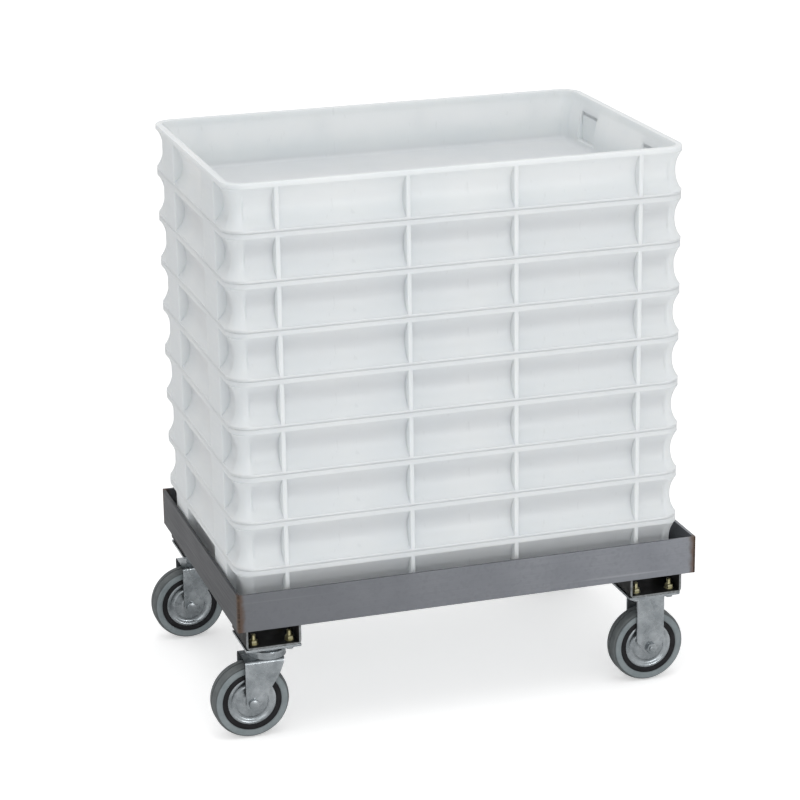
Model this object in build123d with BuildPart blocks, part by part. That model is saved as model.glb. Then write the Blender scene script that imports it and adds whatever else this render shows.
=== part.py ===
from build123d import *
import math
import os

os.makedirs("parts", exist_ok=True)

# A trolley that carries a stack of dough trays on a welded angle frame with four casters.
# Millimetres. X runs along the long side, Y to the back, Z up. The floor is Z = 0 and the
# origin is under the middle of the whole outline, swivel wheels included.

# Dough tray
tray_count = 9
tray_length = 600.0
tray_width = 400.0
tray_height = 70.0
tray_corner_radius = 28.0
tray_nest_depth = 8.0  # how far a tray's foot drops into the rim of the tray below
tray_rim_height = 7.0
tray_rim_width = 14.5  # from the outer edge of the rim to the opening
tray_opening_corner = 10.0  # chamfer in the opening's corners
tray_cove_depth = 12.0  # how far the wall draws in between the rim and the skirt
tray_skirt_height = 4.0
tray_floor = 3.0
tray_foot_gap = 0.7  # play between the foot and the opening that it nests in
tray_foot_wall = 2.5
tray_rib_thickness = 4.0
tray_rib_spacings = (140.0, 472.0)  # the inner and the outer pair of ribs on a long side
tray_pillar_spacing = 192.0  # the hollow pillars beside the hand hold on a short side
tray_pillar_width = 52.0
tray_pillar_pocket = 6.0  # depth of the hollow behind a pillar, seen inside the tray

# Angle frame
angle_leg = 50.0
angle_thickness = 4.0
angle_root_radius = 5.0
weld_leg = 3.0
weld_throat = 0.6
stack_gap_left = 1.5  # play of the lowest tray at the left end of the frame
stack_gap_right = 10.5
stack_gap_front = 10.5
stack_gap_back = 1.5

# Channel brackets between the frame and the casters
bracket_size = 72.0
bracket_height = 26.0
bracket_thickness = 3.0
bracket_bend_radius = 3.0
bracket_setback = 2.0  # behind the front and back faces of the frame
bracket_end_swivel = 10.0  # from the end of the frame to the bracket, swivel end
bracket_end_fixed = 19.0

# Wheels
wheel_diameter = 100.0
tyre_width = 30.0
axle_diameter = 8.0
axle_gap = 0.05  # the axle in the wheel's bore and in the fork
axle_head_size = 13.0  # across the flats
axle_head_height = 4.0
axle_end = 7.5  # how far the plain end stands past the fork

# Casters
caster_trail = 25.0  # the swivel axis stands this far ahead of the axle
plate_thickness = 3.0
race_diameter = 48.0
race_height = 18.2
kingpin_diameter = 10.0
kingpin_head_diameter = 18.0
kingpin_head_height = 3.5
kingpin_gap = 0.05
swivel_gap = 0.3  # play between the race, the fork and the kingpin's head
fork_thickness = 3.0
fork_wheel_gap = 3.5  # from the tyre's side to the inside of a leg
fork_crown_gap = 5.5  # from the top of the tyre to the underside of the crown
fork_front_overlap = 11.0  # the legs' front edge stands this far past the axle
fork_shoulder = 43.0  # from the axle to the far end of the legs' top edge
fork_eye_radius = 9.5
fixed_fork_width = 37.0
fixed_fork_flange = 13.0  # the part of a leg that is bent back, from its edge to the crease
fixed_fork_bend = 10.0
fixed_fork_taper = 9.0  # height above the axle at which the leg begins to narrow

# Levels and places worked out from the sizes above
frame_length = tray_length + stack_gap_left + stack_gap_right + 2 * angle_thickness
frame_width = tray_width + stack_gap_front + stack_gap_back + 2 * angle_thickness
wheel_radius = wheel_diameter / 2
fork_rise = wheel_radius + fork_crown_gap + fork_thickness  # from the axle to the top of the crown
crown_top = wheel_radius + fork_rise
race_bottom = crown_top + swivel_gap
plate_bottom = race_bottom + race_height
caster_height = plate_bottom + plate_thickness  # from the floor to the underside of the bracket
frame_bottom = caster_height + bracket_height
shelf_top = frame_bottom + angle_thickness
tray_pitch = tray_height - tray_nest_depth
leg_inside = tyre_width / 2 + fork_wheel_gap
leg_outside = leg_inside + fork_thickness
caster_y = frame_width / 2 - bracket_setback - bracket_size / 2
swivel_reach = bracket_end_swivel + bracket_size / 2
wheel_overhang = caster_trail + wheel_radius - swivel_reach
frame_x = wheel_overhang / 2
swivel_x = frame_x - frame_length / 2 + swivel_reach
fixed_x = frame_x + frame_length / 2 - bracket_end_fixed - bracket_size / 2
stack_x = frame_x - frame_length / 2 + angle_thickness + stack_gap_left + tray_length / 2
stack_y = frame_width / 2 - angle_thickness - stack_gap_back - tray_width / 2

# Trays, numbered from the frame up
rim_bottom = tray_height - tray_rim_height
skirt_top = tray_nest_depth + tray_skirt_height
cove_middle = (skirt_top + rim_bottom) / 2
waist_length = tray_length - 2 * tray_cove_depth
waist_width = tray_width - 2 * tray_cove_depth
foot_inset = tray_rim_width + tray_foot_gap
mouth_depth = tray_nest_depth + tray_foot_gap
well_inset = foot_inset + tray_foot_wall
opening_length = tray_length - 2 * tray_rim_width
opening_width = tray_width - 2 * tray_rim_width
for number in range(1, tray_count + 1):
    foot_level = shelf_top + (number - 1) * tray_pitch
    with BuildPart() as tray:
        # Skirt and rim at the full outline, and the wall that draws in to a waist between them
        for low, high in ((tray_nest_depth, skirt_top), (rim_bottom, tray_height)):
            with BuildSketch(Plane((stack_x, stack_y, foot_level + low))):
                RectangleRounded(tray_length, tray_width, tray_corner_radius)
            extrude(amount=high - low)
        for edge in (skirt_top, rim_bottom):
            with BuildSketch(Plane((stack_x, stack_y, foot_level + edge))):
                RectangleRounded(tray_length, tray_width, tray_corner_radius)
            with BuildSketch(Plane((stack_x, stack_y, foot_level + cove_middle))):
                RectangleRounded(waist_length, waist_width, tray_corner_radius)
            loft(ruled=True)
        # Foot that nests in the tray below
        with BuildSketch(Plane((stack_x, stack_y, foot_level))):
            foot = Rectangle(tray_length - 2 * foot_inset, tray_width - 2 * foot_inset)
            chamfer(foot.vertices(), tray_opening_corner)
        extrude(amount=tray_nest_depth)
        # Ribs on the long sides and pillars on the short ones
        with BuildSketch(Plane((stack_x, stack_y, foot_level + tray_nest_depth))):
            for spacing in tray_rib_spacings:
                with GridLocations(spacing, 0, 2, 1):
                    Rectangle(tray_rib_thickness, tray_width)
            with GridLocations(0, tray_pillar_spacing, 1, 2):
                Rectangle(tray_length, tray_pillar_width)
        extrude(amount=rim_bottom - tray_nest_depth)
        # Mouth with a ledge for the next tray's foot, the well, and the pockets behind the pillars
        with BuildSketch(Plane((stack_x, stack_y, foot_level + tray_height))):
            opening = Rectangle(opening_length, opening_width)
            chamfer(opening.vertices(), tray_opening_corner)
        extrude(amount=-mouth_depth, mode=Mode.SUBTRACT)
        with BuildSketch(Plane((stack_x, stack_y, foot_level + tray_height - mouth_depth))):
            well = Rectangle(tray_length - 2 * well_inset, tray_width - 2 * well_inset)
            chamfer(well.vertices(), tray_opening_corner)
        extrude(amount=mouth_depth + tray_floor - tray_height, mode=Mode.SUBTRACT)
        with BuildSketch(Plane((stack_x, stack_y, foot_level + rim_bottom))):
            with GridLocations(0, tray_pillar_spacing, 1, 2):
                Rectangle(
                    opening_length + 2 * tray_pillar_pocket,
                    tray_pillar_width - 2 * tray_foot_wall,
                )
        extrude(amount=tray_nest_depth + tray_floor - rim_bottom, mode=Mode.SUBTRACT)
    tray.part.label = f"tray_{number}"
    export_step(tray.part, f"parts/tray_{number}.step")

# Frame: four mitred bars of equal angle, upright leg outside, flat leg inwards as the shelf
left = frame_x - frame_length / 2
right = frame_x + frame_length / 2
front = -frame_width / 2
back = frame_width / 2
bars = (
    ("front_angle", (left, front), (1, 0, 0), (0, 1, 0), frame_length),
    ("right_angle", (right, front), (0, 1, 0), (-1, 0, 0), frame_width),
    ("back_angle", (right, back), (-1, 0, 0), (0, -1, 0), frame_length),
    ("left_angle", (left, back), (0, -1, 0), (1, 0, 0), frame_width),
)
for name, corner, along, inward, length in bars:
    start = (corner[0], corner[1], frame_bottom)
    with BuildPart() as bar:
        with BuildSketch(Plane(start, x_dir=inward, z_dir=along)):
            with BuildLine():
                Polyline(
                    (0, 0),
                    (angle_leg, 0),
                    (angle_leg, angle_thickness),
                    (angle_thickness + angle_root_radius, angle_thickness),
                )
                RadiusArc(
                    (angle_thickness + angle_root_radius, angle_thickness),
                    (angle_thickness, angle_thickness + angle_root_radius),
                    angle_root_radius,
                )
                Polyline(
                    (angle_thickness, angle_thickness + angle_root_radius),
                    (angle_thickness, angle_leg),
                    (0, angle_leg),
                    (0, 0),
                )
            make_face()
        extrude(amount=length)
        # Both ends are mitred, with the outer corner taken off for the weld
        with BuildSketch(Plane(start, x_dir=along, z_dir=(0, 0, 1))):
            with BuildLine():
                Polyline(
                    (weld_leg, 0),
                    (length - weld_leg, 0),
                    (length - weld_leg / 2, weld_leg / 2),
                    (length - angle_leg, angle_leg),
                    (angle_leg, angle_leg),
                    (weld_leg / 2, weld_leg / 2),
                    close=True,
                )
            make_face()
        extrude(amount=angle_leg, mode=Mode.INTERSECT)
    bar.part.label = name
    export_step(bar.part, f"parts/{name}.step")

# Weld beads down the four outer corners
with BuildPart() as corner_welds:
    for name, corner, along, inward, length in bars:
        with BuildSketch(Plane((corner[0], corner[1], frame_bottom), x_dir=along, z_dir=(0, 0, 1))):
            with BuildLine():
                Polyline((weld_leg, 0), (weld_throat, weld_throat), (0, weld_leg), close=True)
            make_face()
        extrude(amount=angle_leg)
corner_welds.part.label = "corner_welds"
export_step(corner_welds.part, "parts/corner_welds.step")

# Ball races, pressed on the kingpins between the plates and the swivel forks
swivel_axes = ((swivel_x, -caster_y), (swivel_x, caster_y))
with BuildPart() as ball_races:
    with BuildSketch(Plane.XY.offset(race_bottom)):
        with Locations(*swivel_axes):
            Circle(race_diameter / 2)
            Circle(kingpin_diameter / 2 + kingpin_gap, mode=Mode.SUBTRACT)
    extrude(amount=plate_bottom - race_bottom)
ball_races.part.label = "ball_races"
export_step(ball_races.part, "parts/ball_races.step")

# Kingpins, headed over under the crowns
head_top = crown_top - fork_thickness - swivel_gap
with BuildPart() as kingpins:
    with BuildSketch(Plane.XY.offset(head_top)):
        with Locations(*swivel_axes):
            Circle(kingpin_diameter / 2)
    extrude(amount=caster_height - head_top)
    with BuildSketch(Plane.XY.offset(head_top)):
        with Locations(*swivel_axes):
            Circle(kingpin_head_diameter / 2)
    extrude(amount=-kingpin_head_height)
kingpins.part.label = "kingpins"
export_step(kingpins.part, "parts/kingpins.step")

# Casters, with the side of the trolley that each stands on
casters = (
    ("front_left", swivel_x, -caster_y, True),
    ("rear_left", swivel_x, caster_y, True),
    ("front_right", fixed_x, -caster_y, False),
    ("rear_right", fixed_x, caster_y, False),
)
for name, caster_x, middle_y, swivels in casters:
    # Channel bracket, open to the front and the back, welded under the frame
    with BuildPart() as bracket:
        with BuildSketch(Plane((caster_x, middle_y + bracket_size / 2, caster_height), (1, 0, 0), (0, -1, 0))):
            with Locations((0, bracket_height / 2)):
                outline = Rectangle(bracket_size, bracket_height)
            fillet(outline.vertices().group_by(Axis.Y)[0], bracket_bend_radius + bracket_thickness)
            with Locations((0, bracket_height / 2 + bracket_thickness)):
                inside = Rectangle(bracket_size - 2 * bracket_thickness, bracket_height, mode=Mode.SUBTRACT)
        extrude(amount=bracket_size)
    bracket.part.label = f"{name}_bracket"
    export_step(bracket.part, f"parts/{name}_bracket.step")
    axle_x = caster_x - (caster_trail if swivels else 0.0)

    if swivels:
        # Top plate
        with BuildPart() as plate:
            with BuildSketch(Plane((caster_x, middle_y, plate_bottom))):
                Rectangle(bracket_size, bracket_size)
                Circle(kingpin_diameter / 2 + kingpin_gap, mode=Mode.SUBTRACT)
            extrude(amount=plate_thickness)
        plate.part.label = f"{name}_plate"
        export_step(plate.part, f"parts/{name}_plate.step")

        # Swivel fork: a flat crown, round at its far end, and two raked legs
        crown_left = -(caster_trail + fork_front_overlap)
        with BuildPart() as fork:
            with BuildSketch(Plane((caster_x, middle_y, crown_top))):
                with BuildLine():
                    Polyline(
                        (0, leg_outside),
                        (crown_left, leg_outside),
                        (crown_left, -leg_outside),
                        (0, -leg_outside),
                    )
                    ThreePointArc((0, -leg_outside), (race_diameter / 2, 0), (0, leg_outside))
                make_face()
            extrude(amount=-fork_thickness)
            with BuildSketch(Plane((caster_x, middle_y, crown_top))):
                Circle(kingpin_diameter / 2 + kingpin_gap)
            extrude(amount=-fork_thickness, mode=Mode.SUBTRACT)
            for side in (-1, 1):
                leg_plane = Plane((axle_x, middle_y + side * leg_outside, wheel_radius), (1, 0, 0), (0, side, 0))
                with BuildSketch(leg_plane):
                    with BuildLine():
                        Polyline(
                            (-fork_front_overlap, 0),
                            (-fork_front_overlap, -side * fork_rise),
                            (fork_shoulder, -side * fork_rise),
                            (fork_shoulder * 0.77, -side * fork_rise * 0.55),
                            (fork_eye_radius, 0),
                            close=True,
                        )
                    make_face()
                    Circle(fork_eye_radius)
                    Circle(axle_diameter / 2 + axle_gap, mode=Mode.SUBTRACT)
                extrude(amount=-fork_thickness)
        fork.part.label = f"{name}_fork"
        export_step(fork.part, f"parts/{name}_fork.step")
    else:
        # Fixed fork: each leg is a sheet with one edge bent back, narrowed to an eye at the axle
        half = fixed_fork_width / 2
        crease = fixed_fork_flange - half
        bend = fixed_fork_flange * math.tan(math.radians(fixed_fork_bend))
        with BuildPart() as fork:
            for side in (-1, 1):
                with BuildSketch(Plane((caster_x, middle_y, plate_bottom))):
                    with BuildLine():
                        Polyline(
                            (-half, side * (leg_outside - bend)),
                            (crease, side * leg_outside),
                            (half, side * leg_outside),
                            (half, side * leg_inside),
                            (crease, side * leg_inside),
                            (-half, side * (leg_inside - bend)),
                            close=True,
                        )
                    make_face()
                extrude(amount=wheel_radius - fork_eye_radius - plate_bottom)
            with BuildSketch(Plane((axle_x, middle_y + bracket_size / 2, wheel_radius), (1, 0, 0), (0, -1, 0))):
                with BuildLine():
                    Polyline(
                        (-half, fixed_fork_taper),
                        (-half, plate_bottom - wheel_radius),
                        (half, plate_bottom - wheel_radius),
                        (half, fixed_fork_taper),
                        (fork_eye_radius * 0.7, -fork_eye_radius * 0.7),
                        (-fork_eye_radius * 0.7, -fork_eye_radius * 0.7),
                        close=True,
                    )
                make_face()
                Circle(fork_eye_radius)
                Circle(axle_diameter / 2 + axle_gap, mode=Mode.SUBTRACT)
            extrude(amount=bracket_size, mode=Mode.INTERSECT)
            with BuildSketch(Plane((caster_x, middle_y, plate_bottom))):
                Rectangle(bracket_size, bracket_size)
            extrude(amount=plate_thickness)
        fork.part.label = f"{name}_fork"
        export_step(fork.part, f"parts/{name}_fork.step")

    # Wheel, with the tyre moulded on its centre
    side_plane = Plane((axle_x, middle_y, wheel_radius), x_dir=(1, 0, 0), z_dir=(0, -1, 0))
    with BuildPart() as wheel:
        with BuildSketch(side_plane):
            Circle(wheel_radius)
            Circle(axle_diameter / 2 + axle_gap, mode=Mode.SUBTRACT)
        extrude(amount=tyre_width / 2, both=True)
    wheel.part.label = f"{name}_wheel"
    export_step(wheel.part, f"parts/{name}_wheel.step")

    # Axle bolt with its head to the front
    with BuildPart() as axle:
        with BuildSketch(side_plane.offset(leg_outside)):
            RegularPolygon(axle_head_size / 2, 6, major_radius=False)
        extrude(amount=axle_head_height)
        with BuildSketch(side_plane.offset(leg_outside)):
            Circle(axle_diameter / 2)
        extrude(amount=-(2 * leg_outside + axle_end))
    axle.part.label = f"{name}_axle"
    export_step(axle.part, f"parts/{name}_axle.step")
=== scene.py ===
import math

import bmesh
import bpy
from mathutils import Matrix, Vector


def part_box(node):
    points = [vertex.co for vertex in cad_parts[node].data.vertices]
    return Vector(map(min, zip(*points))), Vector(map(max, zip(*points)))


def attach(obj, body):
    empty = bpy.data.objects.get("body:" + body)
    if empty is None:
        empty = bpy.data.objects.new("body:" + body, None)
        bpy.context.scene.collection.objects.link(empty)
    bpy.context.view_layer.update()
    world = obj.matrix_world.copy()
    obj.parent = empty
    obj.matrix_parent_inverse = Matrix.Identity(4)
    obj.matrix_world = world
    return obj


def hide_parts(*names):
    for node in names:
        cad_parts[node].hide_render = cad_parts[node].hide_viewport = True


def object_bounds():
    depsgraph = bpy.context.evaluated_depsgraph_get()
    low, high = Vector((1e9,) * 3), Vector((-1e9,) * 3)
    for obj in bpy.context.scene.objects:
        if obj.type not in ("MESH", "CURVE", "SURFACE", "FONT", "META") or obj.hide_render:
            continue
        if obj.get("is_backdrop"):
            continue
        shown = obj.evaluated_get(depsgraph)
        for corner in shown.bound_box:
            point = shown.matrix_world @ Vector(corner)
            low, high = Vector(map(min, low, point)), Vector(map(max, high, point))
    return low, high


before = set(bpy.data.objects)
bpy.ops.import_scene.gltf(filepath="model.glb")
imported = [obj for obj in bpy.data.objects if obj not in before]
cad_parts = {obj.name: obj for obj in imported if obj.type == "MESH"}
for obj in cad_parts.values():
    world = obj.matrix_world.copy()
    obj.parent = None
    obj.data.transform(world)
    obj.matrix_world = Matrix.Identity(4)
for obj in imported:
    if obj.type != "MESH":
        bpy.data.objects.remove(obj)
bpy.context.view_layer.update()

MM = 0.001
TRAYS = range(1, 10)
CASTERS = ("front_left", "rear_left", "front_right", "rear_right")
MIX_A, MIX_B, MIX_RESULT = 6, 7, 2  # the Mix node's colour sockets


# Materials

class Nodes:
    """A material's node tree with short calls for the few nodes that the materials here share."""

    def __init__(self, name, color, roughness, metallic=0.0):
        self.material = bpy.data.materials.new(name)
        self.material.use_nodes = True
        self.tree = self.material.node_tree
        self.shader = self.tree.nodes["Principled BSDF"]
        self.shader.inputs["Base Color"].default_value = (*color, 1)
        self.shader.inputs["Roughness"].default_value = roughness
        self.shader.inputs["Metallic"].default_value = metallic
        self.place = self.add("ShaderNodeTexCoord").outputs["Object"]

    def add(self, kind, **settings):
        node = self.tree.nodes.new(kind)
        for key, value in settings.items():
            setattr(node, key, value)
        return node

    def link(self, source, target):
        self.tree.links.new(source, target)

    def stretched(self, scale):
        node = self.add("ShaderNodeMapping")
        node.inputs["Scale"].default_value = scale
        self.link(self.place, node.inputs["Vector"])
        return node.outputs["Vector"]

    def noise(self, scale, detail=3.0, stretch=(1, 1, 1)):
        node = self.add("ShaderNodeTexNoise")
        node.inputs["Scale"].default_value = scale
        node.inputs["Detail"].default_value = detail
        self.link(self.stretched(stretch), node.inputs["Vector"])
        return node.outputs["Fac"]

    def cells(self, scale):
        node = self.add("ShaderNodeTexVoronoi")
        node.inputs["Scale"].default_value = scale
        self.link(self.place, node.inputs["Vector"])
        split = self.add("ShaderNodeSeparateColor")
        self.link(node.outputs["Color"], split.inputs["Color"])
        return split.outputs["Red"]

    def math(self, operation, a, b=0.0, clamp=False):
        node = self.add("ShaderNodeMath", operation=operation, use_clamp=clamp)
        for socket, value in zip(node.inputs, (a, b)):
            if isinstance(value, (int, float)):
                socket.default_value = value
            else:
                self.link(value, socket)
        return node.outputs["Value"]

    def ranged(self, value, low, high, out_low=0.0, out_high=1.0, smooth=False):
        node = self.add("ShaderNodeMapRange")
        if smooth:
            node.interpolation_type = "SMOOTHSTEP"
        self.link(value, node.inputs["Value"])
        limits = {"From Min": low, "From Max": high, "To Min": out_low, "To Max": out_high}
        for name, number in limits.items():
            node.inputs[name].default_value = number
        return node.outputs["Result"]

    def mixed(self, factor, a, b):
        node = self.add("ShaderNodeMix", data_type="RGBA")
        self.link(factor, node.inputs["Factor"])
        for socket, value in ((MIX_A, a), (MIX_B, b)):
            if isinstance(value, tuple):
                node.inputs[socket].default_value = (*value, 1)
            else:
                self.link(value, node.inputs[socket])
        return node.outputs[MIX_RESULT]

    def along(self, axis):
        node = self.add("ShaderNodeSeparateXYZ")
        self.link(self.place, node.inputs["Vector"])
        return node.outputs[axis]

    def color(self, value):
        self.link(value, self.shader.inputs["Base Color"])

    def roughness(self, value):
        self.link(value, self.shader.inputs["Roughness"])

    def bump(self, height, strength, distance):
        node = self.add("ShaderNodeBump")
        node.inputs["Strength"].default_value = strength
        node.inputs["Distance"].default_value = distance
        self.link(height, node.inputs["Height"])
        self.link(node.outputs["Normal"], self.shader.inputs["Normal"])


def tray_plastic():
    m = Nodes("tray_plastic", (0.72, 0.75, 0.76), 0.42)
    cloud = m.noise(9, 4)
    streak = m.noise(30, 4, (1, 1, 6))
    tone = m.mixed(m.ranged(cloud, 0.35, 0.7), (0.69, 0.722, 0.738), (0.735, 0.758, 0.765))
    scuff = m.ranged(m.noise(160, 5, (1, 1, 0.25)), 0.64, 0.74, 0, 0.35)
    m.color(m.mixed(scuff, tone, (0.60, 0.625, 0.635)))
    m.roughness(m.ranged(streak, 0.3, 0.7, 0.36, 0.5))
    m.bump(m.noise(700, 3), 0.12, 0.0004)
    m.shader.inputs["Subsurface Weight"].default_value = 0.55
    m.shader.inputs["Subsurface Radius"].default_value = (1.0, 0.97, 0.9)
    m.shader.inputs["Subsurface Scale"].default_value = 0.014
    return m.material


def bar_steel(name, node, axis, shade, low_end_painted_shade=0.0):
    """Mill marks along a bar, painted shade that darkens it towards its low end, and heat tint by its
    welds.
    """
    low, high = (corner["XYZ".index(axis)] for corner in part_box(node))
    middle, half = (low + high) / 2, (high - low) / 2

    def toned(r, g, b):
        return (shade * r, shade * g, shade * b)

    m = Nodes(name, toned(0.30, 0.32, 0.35), 0.45, 0.8)
    long_way = {"X": (0.02, 1, 1), "Y": (1, 0.02, 1)}[axis]
    grain = m.noise(620, 4, long_way)
    mottle = m.noise(14, 5)
    tone = m.mixed(m.ranged(grain, 0.25, 0.75), toned(0.235, 0.245, 0.27), toned(0.30, 0.312, 0.335))
    tone = m.mixed(m.ranged(mottle, 0.35, 0.75, 0, 0.55), tone, toned(0.185, 0.195, 0.22))
    tone = m.mixed(m.ranged(m.cells(260), 0.6, 1.0, 0, 0.25), tone, toned(0.17, 0.18, 0.2))
    scratch = m.ranged(m.noise(190, 2, tuple(0.6 * s for s in long_way)), 0.67, 0.73, 0, 0.35)
    tone = m.mixed(scratch, tone, toned(0.45, 0.46, 0.48))
    if low_end_painted_shade:
        # Painted shade: the colour fades into a darker steel towards the bar's low end.
        painted_shade = m.ranged(m.along(axis), low, high, low_end_painted_shade, 0.0)
        tone = m.mixed(painted_shade, tone, toned(0.11, 0.115, 0.125))
    offset = m.math("ABSOLUTE", m.math("SUBTRACT", m.along(axis), middle))
    to_end = m.math("SUBTRACT", half, offset)
    ragged = m.math("ADD", to_end, m.math("MULTIPLY", m.noise(90, 4), 0.010))
    tint = m.ranged(ragged, 7 * MM, 15 * MM, 0.85, 0.0, smooth=True)
    m.color(m.mixed(tint, tone, (0.10, 0.06, 0.04)))
    m.roughness(m.ranged(grain, 0.3, 0.7, 0.42, 0.56))
    m.bump(grain, 0.25, 0.0002)
    return m.material


def weld_metal():
    m = Nodes("weld_metal", (0.12, 0.075, 0.05), 0.45, 0.8)
    ripple = m.noise(55, 3, (1, 1, 7))
    m.color(m.mixed(m.ranged(ripple, 0.3, 0.75), (0.04, 0.028, 0.022), (0.125, 0.085, 0.06)))
    m.bump(ripple, 0.6, 0.0006)
    return m.material


def bracket_paint():
    """Black paint, with the bare cut edge of the sheet at the open ends."""
    m = Nodes("bracket_paint", (0.006, 0.006, 0.006), 0.6)
    m.shader.inputs["Specular IOR Level"].default_value = 0.25
    split = m.add("ShaderNodeSeparateXYZ")
    m.link(m.add("ShaderNodeTexCoord").outputs["Normal"], split.inputs["Vector"])
    cut = m.ranged(m.math("ABSOLUTE", split.outputs["Y"]), 0.9, 0.97, 0, 0.8)
    worn = m.math("MULTIPLY", cut, m.ranged(m.noise(240, 3), 0.3, 0.6, 0.45, 1.0))
    m.color(m.mixed(worn, (0.006, 0.006, 0.006), (0.27, 0.285, 0.29)))
    m.roughness(m.ranged(m.noise(55, 4), 0.3, 0.7, 0.5, 0.7))
    m.bump(m.noise(420, 3), 0.15, 0.0003)
    return m.material


def plated(name, dark, light, spangle, low=0.26, high=0.42):
    m = Nodes(name, light, 0.34, 0.9)
    cloud = m.noise(42, 4)
    fleck = m.cells(spangle)
    tone = m.mixed(m.ranged(cloud, 0.3, 0.7), dark, light)
    m.color(m.mixed(m.math("MULTIPLY", fleck, 0.25), tone, tuple(0.72 * c for c in dark)))
    m.roughness(m.ranged(m.noise(95, 4), 0.3, 0.7, low, high))
    m.bump(m.noise(380, 3), 0.12, 0.0002)
    return m.material


def grey_rubber():
    """A lighter wall and a tread darkened as painted shade, told apart by the distance from the wheel's
    middle.
    """
    m = Nodes("grey_rubber", (0.165, 0.19, 0.2), 0.75)
    cloud = m.ranged(m.noise(70, 5), 0.3, 0.7)
    wall = m.mixed(cloud, (0.175, 0.205, 0.216), (0.23, 0.26, 0.27))
    # Painted shade: the tread gets a darker copy of the wall's rubber colour.
    tread = m.mixed(cloud, (0.085, 0.095, 0.098), (0.125, 0.138, 0.14))
    side = m.ranged(m.math("ABSOLUTE", m.along("Y")), 13.1 * MM, 13.9 * MM)
    m.color(m.mixed(side, tread, wall))
    m.roughness(m.ranged(m.noise(120, 3), 0.3, 0.7, 0.62, 0.82))
    m.bump(m.noise(900, 3), 0.25, 0.0003)
    return m.material


def black_plastic():
    m = Nodes("black_plastic", (0.008, 0.008, 0.009), 0.6)
    m.shader.inputs["Specular IOR Level"].default_value = 0.2
    m.color(m.mixed(m.ranged(m.noise(80, 4), 0.3, 0.7), (0.005, 0.005, 0.006), (0.014, 0.014, 0.016)))
    m.roughness(m.ranged(m.noise(60, 4), 0.3, 0.7, 0.55, 0.7))
    m.bump(m.noise(600, 3), 0.1, 0.0002)
    return m.material


PLASTIC = tray_plastic()
# One steel in three materials: the left bar's is darkened as painted shade, the right bar's is lightened
# as painted light, and the front and back bars' is darkened towards the left end as painted shade.
STEEL_X = bar_steel("bar_steel_x", "front_angle", "X", 0.94, 0.7)
STEEL_LEFT_SHADED = bar_steel("bar_steel_left_shaded", "left_angle", "Y", 0.25)
STEEL_RIGHT_LIT = bar_steel("bar_steel_right_lit", "right_angle", "Y", 0.85)
WELD = weld_metal()
PAINT = bracket_paint()
ZINC = plated("zinc", (0.22, 0.243, 0.257), (0.44, 0.468, 0.487), 170, 0.2, 0.36)
YELLOW_ZINC = plated("yellow_zinc", (0.36, 0.33, 0.16), (0.60, 0.57, 0.38), 420)
RUBBER = grey_rubber()
BLACK = black_plastic()


# Mesh helpers

def finish_mesh(bm, name, material, sharp=32):
    """A smooth mesh with sharp edges above an angle in degrees. The bmesh is freed."""
    bmesh.ops.recalc_face_normals(bm, faces=bm.faces)
    mesh = bpy.data.meshes.new(name)
    bm.to_mesh(mesh)
    bm.free()
    mesh.materials.append(material)
    mesh.polygons.foreach_set("use_smooth", [True] * len(mesh.polygons))
    mesh.set_sharp_from_angle(angle=math.radians(sharp))
    return mesh


def piece(name, mesh, body, place=(0, 0, 0), replaces=()):
    """A visible piece that rides on a body and stands for the CAD nodes that it replaces."""
    obj = bpy.data.objects.new(name, mesh)
    obj.location = place
    bpy.context.scene.collection.objects.link(obj)
    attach(obj, body)
    if replaces:
        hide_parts(*replaces)
    return obj


def skin(bm, rings):
    """Quads between rings of equal length, with a flat face over the first and the last."""
    loops = [[bm.verts.new(p) for p in ring] for ring in rings]
    count = len(loops[0])
    for lower, upper in zip(loops, loops[1:]):
        for i in range(count):
            j = (i + 1) % count
            bm.faces.new((lower[i], lower[j], upper[j], upper[i]))
    bm.faces.new(loops[0])
    bm.faces.new(loops[-1])


def revolved(profile, axis="Y", steps=72):
    """Closed rings (radius, offset) turned about the axis through the origin."""
    bm = bmesh.new()
    loops = []
    for radius, offset in profile:
        ring = []
        for i in range(steps):
            a = 2 * math.pi * i / steps
            u, v = radius * math.cos(a), radius * math.sin(a)
            ring.append(bm.verts.new((u, offset, v) if axis == "Y" else (u, v, offset)))
        loops.append(ring)
    for k in range(len(loops)):
        lower, upper = loops[k], loops[(k + 1) % len(loops)]
        for i in range(steps):
            j = (i + 1) % steps
            bm.faces.new((lower[i], lower[j], upper[j], upper[i]))
    return bm


def raised(outline, height, direction):
    """An outline in the XY plane at a height, or in the XZ plane at a depth along Y."""
    if direction == "Z":
        return [(u, v, height) for u, v in outline]
    return [(u, height, v) for u, v in outline]


def prism(outline, low, high, direction="Z"):
    bm = bmesh.new()
    skin(bm, [raised(outline, low, direction), raised(outline, high, direction)])
    return bm


def arc(cx, cy, radius, start, end, steps):
    """Points on an arc between two angles in degrees."""
    angles = [math.radians(start + (end - start) * i / steps) for i in range(steps + 1)]
    return [(cx + radius * math.cos(a), cy + radius * math.sin(a)) for a in angles]


def in_mm(pairs):
    return [(a * MM, b * MM) for a, b in pairs]


def opened(mesh):
    bm = bmesh.new()
    bm.from_mesh(mesh)
    return bm


def merged(*parts):
    """All parts in one bmesh. The parts are freed."""
    whole = bmesh.new()
    for bm in parts:
        mesh = bpy.data.meshes.new("part")
        bm.to_mesh(mesh)
        bm.free()
        whole.from_mesh(mesh)
        bpy.data.meshes.remove(mesh)
    return whole


def moved(bm, x=0.0, y=0.0, z=0.0):
    bmesh.ops.translate(bm, verts=bm.verts, vec=(x, y, z))
    return bm


def placed(bm, x, y, turn):
    bmesh.ops.rotate(bm, verts=bm.verts, cent=(0, 0, 0), matrix=Matrix.Rotation(turn, 3, "Z"))
    return moved(bm, x, y)


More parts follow.
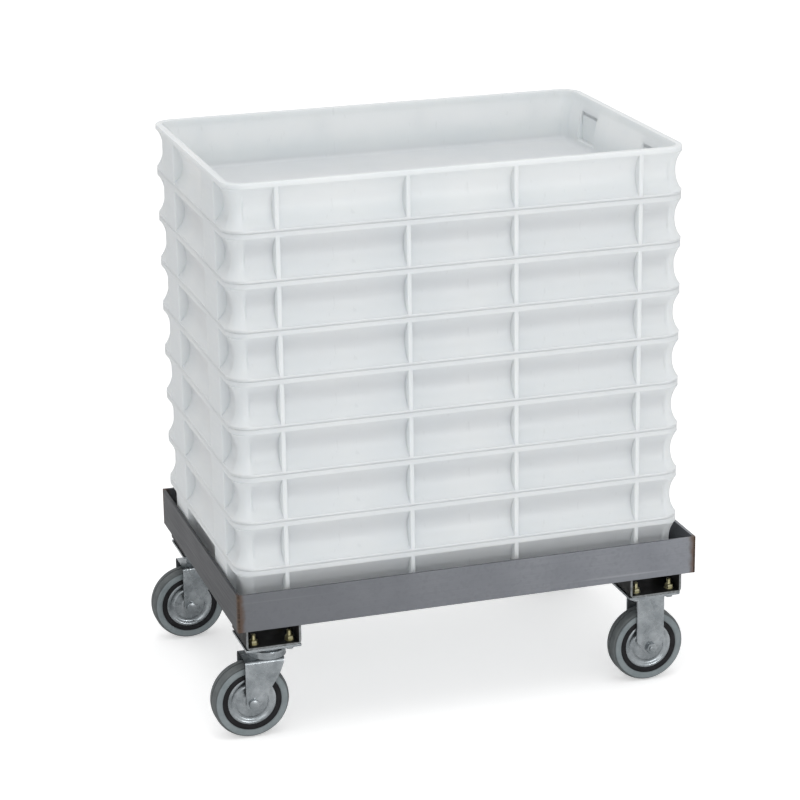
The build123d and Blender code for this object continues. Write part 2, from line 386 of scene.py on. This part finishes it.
def cut_by(mesh, cutter_bm, operation="DIFFERENCE"):
    """A new mesh: the mesh less the cutter, joined with it, or only what both share."""
    cutter_mesh = bpy.data.meshes.new("cutter")
    bmesh.ops.recalc_face_normals(cutter_bm, faces=cutter_bm.faces)
    cutter_bm.to_mesh(cutter_mesh)
    cutter_bm.free()
    cutter = bpy.data.objects.new("cutter", cutter_mesh)
    work = bpy.data.objects.new("work", mesh)
    for obj in (cutter, work):
        bpy.context.scene.collection.objects.link(obj)
    change = work.modifiers.new("cut", "BOOLEAN")
    change.operation = operation
    change.solver = "EXACT"
    change.object = cutter
    depsgraph = bpy.context.evaluated_depsgraph_get()
    result = bpy.data.meshes.new_from_object(work.evaluated_get(depsgraph))
    for obj in (cutter, work):
        bpy.data.objects.remove(obj)
    return result


def bevelled(obj, width, limit):
    """Rounds the edges that are sharper than an angle in degrees."""
    bevel = obj.modifiers.new("bevel", "BEVEL")
    bevel.width = width
    bevel.segments = 2
    bevel.limit_method = "ANGLE"
    bevel.angle_limit = math.radians(limit)
    bevel.harden_normals = True


def centre(node):
    low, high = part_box(node)
    return [(a + b) / 2 for a, b in zip(low, high)]


# Trays: one mesh for all nine

tray_low, tray_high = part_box("tray_1")
LENGTH, WIDTH, HEIGHT = (high - low for low, high in zip(tray_low, tray_high))
CORNER = 28 * MM
CORNER_STEPS = 8
NEST = 8 * MM  # how far the foot drops into the tray below
SKIRT = 4 * MM
RIM = 7 * MM
RIM_WIDTH = 8.5 * MM
FOOT_INSET = 15.2 * MM
FLOOR = 3 * MM
FLOOR_FILLET = 7 * MM
EDGE = 0.6 * MM
SEAT_GAP = 0.05 * MM  # between the skirt and the rim below
COVE = 12 * MM
COVE_CORNER = 22 * MM
COVE_STEPS = 12
CORNER_SHARE = 0.82  # how deep the cove is at a corner, for 1 on the straight
LIP = 1.6 * MM
CREASE = 3 * MM
WELL_INSET = 17.9 * MM  # the inner wall at its foot
WELL_TOP = HEIGHT - 7 * MM
WELL_DROP = 45 * MM
WELL_STEPS = 9
WELL_POWER = 1.7  # above 1, the inner wall is steeper towards its foot
UPRIGHT_INSET = 0.12 * MM  # from the tray's outline to the front of a rib or pillar
RIB_PLACES = (-236 * MM, -70 * MM, 70 * MM, 236 * MM)
RIB_HALF = 2.8 * MM
PILLAR_PLACES = (-108 * MM, 108 * MM)
PILLAR_HALF = 31.5 * MM
PILLAR_WALL = 2.5 * MM
PILLAR_SIDE = 2.3 * MM
PILLAR_WEB = 1.5 * MM
POCKET_INSET = 11 * MM
POCKET_BACK = WELL_INSET + 8.6 * MM
POCKET_TOP = HEIGHT - 19 * MM


def tray_profile():
    """Rows of the arguments of tray_ring, up the outside, over the rim and down to the floor."""
    low, high = NEST + SKIRT, HEIGHT - RIM
    seat = NEST + SEAT_GAP
    points = [(FOOT_INSET + EDGE, 0), (FOOT_INSET, EDGE), (FOOT_INSET, seat)]
    points += [(EDGE, seat), (EDGE / 3, seat + EDGE / 3), (0, seat + EDGE)]
    points += [(0, low - LIP), (0.4 * MM, low - 0.5 * MM)]
    rows = [(d, z, d, CORNER) for d, z in points]

    chord = (high - low) / 2
    depth = COVE - LIP
    radius = (chord ** 2 + depth ** 2) / (2 * depth)
    sweep = math.asin(chord / radius)
    for i in range(COVE_STEPS + 1):
        a = -sweep + 2 * sweep * i / COVE_STEPS
        d = COVE - radius + radius * math.cos(a)
        z = (low + high) / 2 + radius * math.sin(a)
        rows.append((d, z, CORNER_SHARE * d, COVE_CORNER))

    points = [(0.5 * MM, high + 0.1 * MM), (0.1 * MM, high + 0.6 * MM), (0, high + 1.4 * MM)]
    points += [(0, HEIGHT - EDGE), (EDGE / 3, HEIGHT - EDGE / 3), (EDGE, HEIGHT)]
    points += [(RIM_WIDTH - EDGE, HEIGHT), (RIM_WIDTH - EDGE / 3, HEIGHT - EDGE / 3)]
    points += [(RIM_WIDTH, HEIGHT - EDGE), (RIM_WIDTH + 0.2 * MM, WELL_TOP)]
    for i in range(1, WELL_STEPS):
        t = i / WELL_STEPS
        inset = WELL_INSET - (WELL_INSET - RIM_WIDTH) * (1 - t) ** WELL_POWER
        points.append((inset, WELL_TOP - t * WELL_DROP))
    points += arc(WELL_INSET + FLOOR_FILLET, FLOOR + FLOOR_FILLET, FLOOR_FILLET, 180, 270, 5)
    return rows + [(d, z, d, CORNER) for d, z in points]


def tray_ring(inset, z, corner_inset, corner_radius):
    """A rounded rectangle whose straight sides and corners each have their own inset."""
    points = []
    for corner in range(4):
        start = corner * math.pi / 2
        out = Vector((math.cos(start), math.sin(start)))
        on = Vector((-math.sin(start), math.cos(start)))
        sx = 1 if corner in (0, 3) else -1
        sy = 1 if corner in (0, 1) else -1
        middle = Vector((sx * (LENGTH / 2 - corner_radius), sy * (WIDTH / 2 - corner_radius)))
        ring = [middle + out * (corner_radius - inset) - on * CREASE]
        for i in range(CORNER_STEPS + 1):
            a = i / CORNER_STEPS * math.pi / 2
            ring.append(middle + (corner_radius - corner_inset) * (out * math.cos(a) + on * math.sin(a)))
        ring.append(middle + on * (corner_radius - inset) - out * CREASE)
        points += [(p.x, p.y, z) for p in ring]
    return points


def upright(half, front, soft, draft, rows, hollow=False):
    """A rib or pillar over rows of (height, back), with its outside at y = 0 and y going inwards."""
    rings = []
    for z, back in rows:
        side = [(-half - draft, back)] + arc(-half + soft, front + soft, soft, 180, 270, 3)
        outline = side + [(-x, y) for x, y in reversed(side)]
        if hollow:
            inner, web = half - PILLAR_SIDE, back - PILLAR_WEB
            outline += [(inner, back), (inner, web), (-inner, web), (-inner, back)]
        rings.append([(x, y, z) for x, y in outline])
    bm = bmesh.new()
    skin(bm, rings)
    return bm


def at_pillars(make):
    """What make gives, at both pillars of both short sides."""
    places = [(side, y) for side in (-1, 1) for y in PILLAR_PLACES]
    return [placed(make(), side * LENGTH / 2, y, side * math.pi / 2) for side, y in places]


def at_ribs(make):
    """What make gives, at the ribs of both long sides."""
    places = [(side, x) for side in (-1, 1) for x in RIB_PLACES]
    return [placed(make(), x, side * WIDTH / 2, 0 if side < 0 else math.pi) for side, x in places]


def tray_mesh():
    back = COVE + MM
    rows = [(NEST + SKIRT - 1.5 * MM, back), (HEIGHT - 26 * MM, back)]
    rows += [(HEIGHT - RIM + 1.5 * MM, back - 7 * MM)]
    pocket_rows = [(NEST + FLOOR, POCKET_BACK), (POCKET_TOP, POCKET_BACK)]

    def pocket():
        return upright(PILLAR_HALF - PILLAR_WALL, POCKET_INSET, 3 * MM, 0.0, pocket_rows)

    def pillar():
        return upright(PILLAR_HALF, UPRIGHT_INSET, 2.0 * MM, 4.5 * MM, rows, hollow=True)

    def rib():
        return upright(RIB_HALF, UPRIGHT_INSET, 1.0 * MM, 1.2 * MM, rows)

    bm = bmesh.new()
    skin(bm, [tray_ring(*row) for row in tray_profile()])
    mesh = finish_mesh(bm, "tray_shell", PLASTIC)
    mesh = cut_by(mesh, merged(*at_pillars(pocket)))
    for bar in at_pillars(pillar) + at_ribs(rib):
        mesh = cut_by(mesh, bar, "UNION")
    return finish_mesh(opened(mesh), "tray", PLASTIC, 28)


shared_tray = tray_mesh()
for number in TRAYS:
    node = f"tray_{number}"
    low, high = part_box(node)
    place = ((low[0] + high[0]) / 2, (low[1] + high[1]) / 2, low[2])
    piece(f"{node}_shell", shared_tray, f"{node}_body", place, [node])


# Frame and casters: these CAD nodes keep their shape, most of them with rounded edges

ANGLE_EDGE = 0.5 * MM
SHEET_EDGE = 0.3 * MM


def finished(node, material, edge=0.0):
    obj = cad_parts[node]
    obj.data.materials.clear()
    obj.data.materials.append(material)
    if edge:
        weld = obj.modifiers.new("weld", "WELD")
        weld.merge_threshold = 0.02 * MM
        bevelled(obj, edge, 40)


finished("front_angle", STEEL_X, ANGLE_EDGE)
finished("back_angle", STEEL_X, ANGLE_EDGE)
finished("left_angle", STEEL_LEFT_SHADED, ANGLE_EDGE)
finished("right_angle", STEEL_RIGHT_LIT, ANGLE_EDGE)
finished("corner_welds", WELD)
finished("kingpins", ZINC)
for caster in CASTERS:
    finished(f"{caster}_bracket", PAINT, SHEET_EDGE)
    if caster.endswith("left"):
        finished(f"{caster}_plate", ZINC, SHEET_EDGE)


# Ball races: a pressed ring under each plate, and the fork's dome below it

RACE = [(5.3, 0), (24, 0), (25.2, -0.8), (25.2, -2.2), (24.2, -3.4), (22.6, -6.4)]
RACE += [(21.8, -8.2), (5.3, -8.2)]
DOME = [(5.3, -8.6), (21.6, -8.6), (23.6, -9.4), (24.0, -11), (23.6, -13.5)]
DOME += [(24.0, -18.2), (5.3, -18.2)]

race_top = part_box("ball_races")[1][2]
rings = []
for caster in ("front_left", "rear_left"):
    x, y, _ = centre(f"{caster}_plate")
    rings.append(moved(revolved(in_mm(RACE), "Z"), x, y, race_top))
    bm = moved(revolved(in_mm(DOME), "Z"), x, y, race_top)
    name = f"{caster}_dome"
    piece(name, finish_mesh(bm, name, ZINC), f"{caster}_swivel")
mesh = finish_mesh(merged(*rings), "race_rings", ZINC)
piece("race_rings", mesh, "frame", (0, 0, 0), ["ball_races"])


# Forks, bent from sheet

SHEET = 3 * MM
LEG_OUTSIDE = 21.5 * MM
LEG_INSIDE = LEG_OUTSIDE - SHEET
BEND = 4.5 * MM
EYE = 9.5 * MM
SHOULDER = 42.5 * MM  # from the axle to the far edge of a swivel fork's crown
CUT_REACH = 30 * MM
PLATE_HALF = 36 * MM
PLATE_CORNER = 5 * MM


def trimmed(bm, side):
    """What lies inside an outline seen from the side."""
    cutter = prism(side, -CUT_REACH, CUT_REACH, "Y")
    return opened(cut_by(finish_mesh(bm, "blank", ZINC), cutter, "INTERSECT"))


def channel_profile(bottom):
    """A U upside down in the YZ plane, with round bends and its crown's top at height 0."""
    middle = LEG_OUTSIDE - BEND
    outer = arc(middle, -BEND, BEND, 0, 90, 6) + arc(-middle, -BEND, BEND, 90, 180, 6)
    inner = arc(-middle, -BEND, BEND - SHEET, 180, 90, 6) + arc(middle, -BEND, BEND - SHEET, 90, 0, 6)
    outside = [(LEG_OUTSIDE, bottom)] + outer + [(-LEG_OUTSIDE, bottom)]
    return outside + [(-LEG_INSIDE, bottom)] + inner + [(LEG_INSIDE, bottom)]


def swivel_fork(rise):
    """Origin at the axle: a channel whose legs are raked from the crown to an eye."""
    channel = bmesh.new()
    profile = channel_profile(-rise - EYE)
    skin(channel, [[(x, y, z + rise) for y, z in profile] for x in (-EYE, SHOULDER)])
    side = [(-EYE, rise + MM), (-EYE, 0)] + arc(0, 0, EYE, 180, 325, 14)
    side += in_mm([(33, 33), (37.5, 42), (40.5, 50)]) + [(SHOULDER, rise + MM)]
    return trimmed(channel, side)


def fixed_legs(rise, half, flare):
    """Two legs with one edge bent in, flared below the plate."""
    crease, bend = -5.5 * MM, 2.3 * MM
    taper, turn = 9 * MM, 7 * MM
    flare_foot = rise - 9 * MM
    side = arc(0, 0, EYE, 215, 325, 10) + [(half, taper), (half, flare_foot)]
    side += arc(half + turn, flare_foot, turn, 180, 110, 5) + [(half + flare, rise + MM)]
    side += [(-half - flare, rise + MM)] + arc(-half - turn, flare_foot, turn, 70, 0, 5)
    side += [(-half, taper)]
    slope = bend / (half + crease)
    edge = LEG_OUTSIDE - bend - slope * flare
    legs = []
    for end in (-1, 1):
        out = [(-half - flare, end * edge), (crease, end * LEG_OUTSIDE)]
        out += [(half + flare, end * LEG_OUTSIDE)]
        back = [(x, y - end * SHEET) for x, y in reversed(out)]
        legs.append(prism(out + back, -EYE - MM, rise))
    return trimmed(merged(*legs), side)


def fixed_fork(rise):
    """Origin at the axle: the legs, the bend above each of them, and the square plate."""
    legs = fixed_legs(rise, 18.5 * MM, 6 * MM)
    fillet, reach = 4 * MM, 22 * MM
    fillets = []
    for end in (-1, 1):
        profile = [(end * LEG_INSIDE, rise)]
        for x, y in arc(0, 0, fillet, 0, 90, 5):
            profile.append((end * (LEG_OUTSIDE + fillet - x), rise - fillet + y))
        strip = bmesh.new()
        skin(strip, [[(x, y, z) for y, z in profile] for x in (-reach, reach)])
        fillets.append(strip)
    outline = []
    side = PLATE_HALF - PLATE_CORNER
    for turn, (sx, sy) in enumerate(((1, 1), (-1, 1), (-1, -1), (1, -1))):
        outline += arc(sx * side, sy * side, PLATE_CORNER, 90 * turn, 90 * turn + 90, 5)
    return merged(legs, prism(outline, rise, rise + SHEET), *fillets)


for caster in CASTERS:
    node = f"{caster}_fork"
    fork_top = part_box(node)[1][2]
    x, _, axle_z = centre(f"{caster}_axle")
    y = centre(f"{caster}_wheel")[1]
    if caster.endswith("left"):
        bm = swivel_fork(fork_top - axle_z)
        body = f"{caster}_swivel"
    else:
        bm = fixed_fork(fork_top - SHEET - axle_z)
        body = "frame"
    mesh = finish_mesh(bm, node, ZINC, 30)
    fork = piece(f"{caster}_pressed_fork", mesh, body, (x, y, axle_z), [node])
    bevelled(fork, 0.4 * MM, 50)


# Wheels

# Half profiles in millimetres: the radius, and the distance from the wheel's middle
TYRE = [(38.6, 13.4), (39.4, 14.6), (41.0, 15.0), (45.2, 15.0), (46.3, 14.7), (46.8, 14.1)]
TYRE += [(46.8, 13.2), (46.1, 12.9), (46.1, 12.1), (47.9, 11.8), (48.9, 10.9), (49.6, 9.2)]
TYRE += [(50.0, 6.5), (50.0, 1.3), (49.0, 1.1)]
RING = [(31.6, 12.6), (32.2, 13.7), (33.0, 13.9), (37.2, 13.9), (38.4, 13.6), (38.7, 12.4)]
DISC = [(31.8, 11.5), (31.7, 13.0), (30.6, 13.5), (28.2, 13.3), (26.6, 12.2), (25.4, 11.6)]
DISC += [(22.6, 11.4), (21.6, 11.9), (20.9, 12.6), (12.0, 12.9), (9.8, 13.4), (8.6, 14.6)]
DISC += [(8.2, 17.9), (4.2, 17.9)]


def two_sided(half):
    return [(r * MM, -y * MM) for r, y in half] + [(r * MM, y * MM) for r, y in reversed(half)]


tyre_mesh = finish_mesh(revolved(two_sided(TYRE), steps=120), "tyre", RUBBER, 50)
ring_mesh = finish_mesh(revolved(two_sided(RING), steps=96), "inner_ring", BLACK, 50)
disc_mesh = finish_mesh(revolved(two_sided(DISC), steps=96), "disc", ZINC, 40)
for caster in CASTERS:
    body = f"{caster}_wheel_body"
    place = centre(f"{caster}_wheel")
    piece(f"{caster}_tyre", tyre_mesh, body, place, [f"{caster}_wheel"])
    piece(f"{caster}_inner_ring", ring_mesh, body, place)
    piece(f"{caster}_disc", disc_mesh, body, place)


# Axle bolts, nuts and the mounting bolts

CORE = 0.2 * MM  # a pin hole, so that a turned profile is a closed ring
AXLE_RADIUS = 4 * MM
AXLE_NUT = 13 * MM
AXLE_PITCH = 1.25 * MM
BOLT_RADIUS = 3 * MM
BOLT_NUT = 10 * MM
BOLT_PITCH = 1.5 * MM
BOLT_SPACING = 23.5 * MM
WASHER = 1.2 * MM
BOLT_WASHER = 1.4 * MM
ROUND_HEAD = [(0.2, 4.0), (4.6, 4.0), (6.1, 3.4), (6.5, 2.2), (6.5, 0), (0.2, 0)]


def hexagon(across_flats):
    r = across_flats / 2 / math.cos(math.pi / 6)
    return [(r * math.cos(i * math.pi / 3), r * math.sin(i * math.pi / 3)) for i in range(6)]


def hex_nut(across_flats, low, high, direction):
    """A nut with its corners turned down at the outer end."""
    shell = hexagon(across_flats)
    inner = [(x * 0.86, y * 0.86) for x, y in shell]
    shoulder = high - (high - low) * 0.14
    bm = bmesh.new()
    rows = ((shell, low), (shell, shoulder), (inner, high))
    skin(bm, [raised(outline, height, direction) for outline, height in rows])
    return bm


def disc(radius, low, high, direction, steps):
    """A washer or a plain length of bolt."""
    return revolved([(CORE, low), (radius, low), (radius, high), (CORE, high)], direction, steps)


def threaded(radius, low, high, pitch, direction):
    """A length of thread with a round for each turn."""
    profile = [(CORE, low)]
    count = max(2, round(abs(high - low) / pitch))
    step = (high - low) / count
    for i in range(count):
        profile += [(radius * 0.88, low + i * step), (radius, low + (i + 0.5) * step)]
    profile += [(radius * 0.8, high), (CORE, high)]
    return revolved(profile, direction, 20)


def axle_bolt(swivels):
    """Origin at the axle. The fixed casters have their nut and thread at the front."""
    leg = LEG_OUTSIDE
    if swivels:
        head = revolved([(r * MM, -leg - h * MM) for r, h in ROUND_HEAD], "Y", 48)
        far = hex_nut(AXLE_NUT, leg, leg + 6 * MM, "Y")
        tip = threaded(AXLE_RADIUS, leg, leg + 7.4 * MM, AXLE_PITCH, "Y")
    else:
        nut = hex_nut(AXLE_NUT, -leg - WASHER, -leg - WASHER - 5 * MM, "Y")
        head = merged(nut, disc(8 * MM, -leg - WASHER, -leg, "Y", 40))
        far = hex_nut(AXLE_NUT, leg, leg + 4 * MM, "Y")
        tip = threaded(AXLE_RADIUS, -leg, -leg - 8.4 * MM, AXLE_PITCH, "Y")
    return merged(head, far, tip, disc(AXLE_RADIUS, -leg, leg, "Y", 32))


def bolt_heads(places, z):
    """Heads and washers under a caster's plate."""
    parts = []
    for x, y in places:
        parts.append(moved(hex_nut(BOLT_NUT, -BOLT_WASHER, -5.6 * MM, "Z"), x, y, z))
        parts.append(moved(disc(7 * MM, 0, -BOLT_WASHER, "Z", 32), x, y, z))
    return merged(*parts)


def bolt_nuts(places, z):
    """Washers, nuts and threads on a bracket's web."""
    parts = []
    for x, y in places:
        parts.append(moved(disc(6.2 * MM, 0, WASHER, "Z", 32), x, y, z))
        parts.append(moved(hex_nut(BOLT_NUT, WASHER, WASHER + 5 * MM, "Z"), x, y, z))
        parts.append(moved(threaded(BOLT_RADIUS, 5.8 * MM, 13.8 * MM, BOLT_PITCH, "Z"), x, y, z))
    return merged(*parts)


for caster in CASTERS:
    swivels = caster.endswith("left")
    x, _, z = centre(f"{caster}_axle")
    y = centre(f"{caster}_wheel")[1]
    name = f"{caster}_axle_bolt"
    mesh = finish_mesh(axle_bolt(swivels), name, ZINC, 30)
    body = f"{caster}_swivel" if swivels else "frame"
    piece(name, mesh, body, (x, y, z), [f"{caster}_axle"])

for caster in CASTERS:
    x, y, _ = centre(f"{caster}_bracket")
    web_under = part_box(f"{caster}_bracket")[0][2]
    steps = (-BOLT_SPACING, BOLT_SPACING)
    places = [(x + dx, y + dy) for dx in steps for dy in steps]
    name = f"{caster}_bolt_heads"
    mesh = finish_mesh(bolt_heads(places, web_under - SHEET), name, ZINC, 30)
    piece(name, mesh, "frame")
    name = f"{caster}_nuts"
    mesh = finish_mesh(bolt_nuts(places, web_under + SHEET), name, YELLOW_ZINC, 30)
    piece(name, mesh, "frame")


# Floor, light and camera

FLOOR_REACH = 40
FLOOR_GLOW = 0.42  # only for camera rays
ROOM_LIGHT = 0.74

floor_mesh = bpy.data.meshes.new("floor")
signs = ((-1, -1), (1, -1), (1, 1), (-1, 1))
corners = [(sx * FLOOR_REACH, sy * FLOOR_REACH, 0) for sx, sy in signs]
floor_mesh.from_pydata(corners, [], [(0, 1, 2, 3)])
floor = bpy.data.objects.new("floor", floor_mesh)
bpy.context.scene.collection.objects.link(floor)
pale = Nodes("floor_pale", (0.90, 0.90, 0.90), 0.95)
pale.shader.inputs["Specular IOR Level"].default_value = 0.05
pale.shader.inputs["Emission Color"].default_value = (1, 1, 1, 1)
camera_ray = pale.add("ShaderNodeLightPath").outputs["Is Camera Ray"]
pale.link(pale.math("MULTIPLY", camera_ray, FLOOR_GLOW), pale.shader.inputs["Emission Strength"])
floor_mesh.materials.append(pale.material)
floor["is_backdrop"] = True

world = bpy.data.worlds.new("studio")
bpy.context.scene.world = world
world.use_nodes = True
tree = world.node_tree
background = tree.nodes["Background"]
background.inputs["Color"].default_value = (1, 1, 1, 1)
background.inputs["Strength"].default_value = ROOM_LIGHT
white = tree.nodes.new("ShaderNodeBackground")
white.inputs["Color"].default_value = (1, 1, 1, 1)
white.inputs["Strength"].default_value = 1.0


def larger(a, b):
    node = tree.nodes.new("ShaderNodeMath")
    node.operation = "MAXIMUM"
    tree.links.new(a, node.inputs[0])
    tree.links.new(b, node.inputs[1])
    return node.outputs["Value"]


path = tree.nodes.new("ShaderNodeLightPath")
clear = larger(path.outputs["Is Glossy Ray"], path.outputs["Is Transmission Ray"])
seen = larger(path.outputs["Is Camera Ray"], clear)
mix = tree.nodes.new("ShaderNodeMixShader")
tree.links.new(seen, mix.inputs["Fac"])
tree.links.new(background.outputs["Background"], mix.inputs[1])
tree.links.new(white.outputs["Background"], mix.inputs[2])
tree.links.new(mix.outputs["Shader"], tree.nodes["World Output"].inputs["Surface"])


def area_light(name, place, target, size, power):
    light = bpy.data.lights.new(name, "AREA")
    light.shape = "DISK"
    light.size = size
    light.energy = power
    obj = bpy.data.objects.new(name, light)
    obj.location = place
    obj.rotation_euler = (Vector(target) - Vector(place)).to_track_quat("-Z", "Y").to_euler()
    bpy.context.scene.collection.objects.link(obj)


area_light("key", (-1.3, -4.4, 2.3), (0, 0, 0.35), 2.4, 20)
area_light("top", (-0.2, -0.8, 3.9), (0, 0, 0.4), 2.6, 30)
area_light("fill", (1.2, -4.5, 0.45), (0, 0, 0.3), 0.9, 28)

CAMERA_PLACE = (-1.0208, -3.2207, 1.4629)
YAW, PITCH, ROLL = (math.radians(a) for a in (17.365, 17.978, -0.826))
ahead = Vector((math.sin(YAW) * math.cos(PITCH), math.cos(YAW) * math.cos(PITCH), -math.sin(PITCH)))
level = Vector((math.cos(YAW), -math.sin(YAW), 0))
up = level.cross(ahead)
right = math.cos(ROLL) * level + math.sin(ROLL) * up
up = -math.sin(ROLL) * level + math.cos(ROLL) * up
lens = bpy.data.cameras.new("photo")
lens.lens = 120.3
lens.sensor_width = 36
camera = bpy.data.objects.new("photo", lens)
camera.matrix_world = Matrix((
    (right.x, up.x, -ahead.x, CAMERA_PLACE[0]),
    (right.y, up.y, -ahead.y, CAMERA_PLACE[1]),
    (right.z, up.z, -ahead.z, CAMERA_PLACE[2]),
    (0, 0, 0, 1),
))
bpy.context.scene.collection.objects.link(camera)
bpy.context.scene.camera = camera
bpy.context.scene.view_settings.view_transform = "Standard"

low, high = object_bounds()
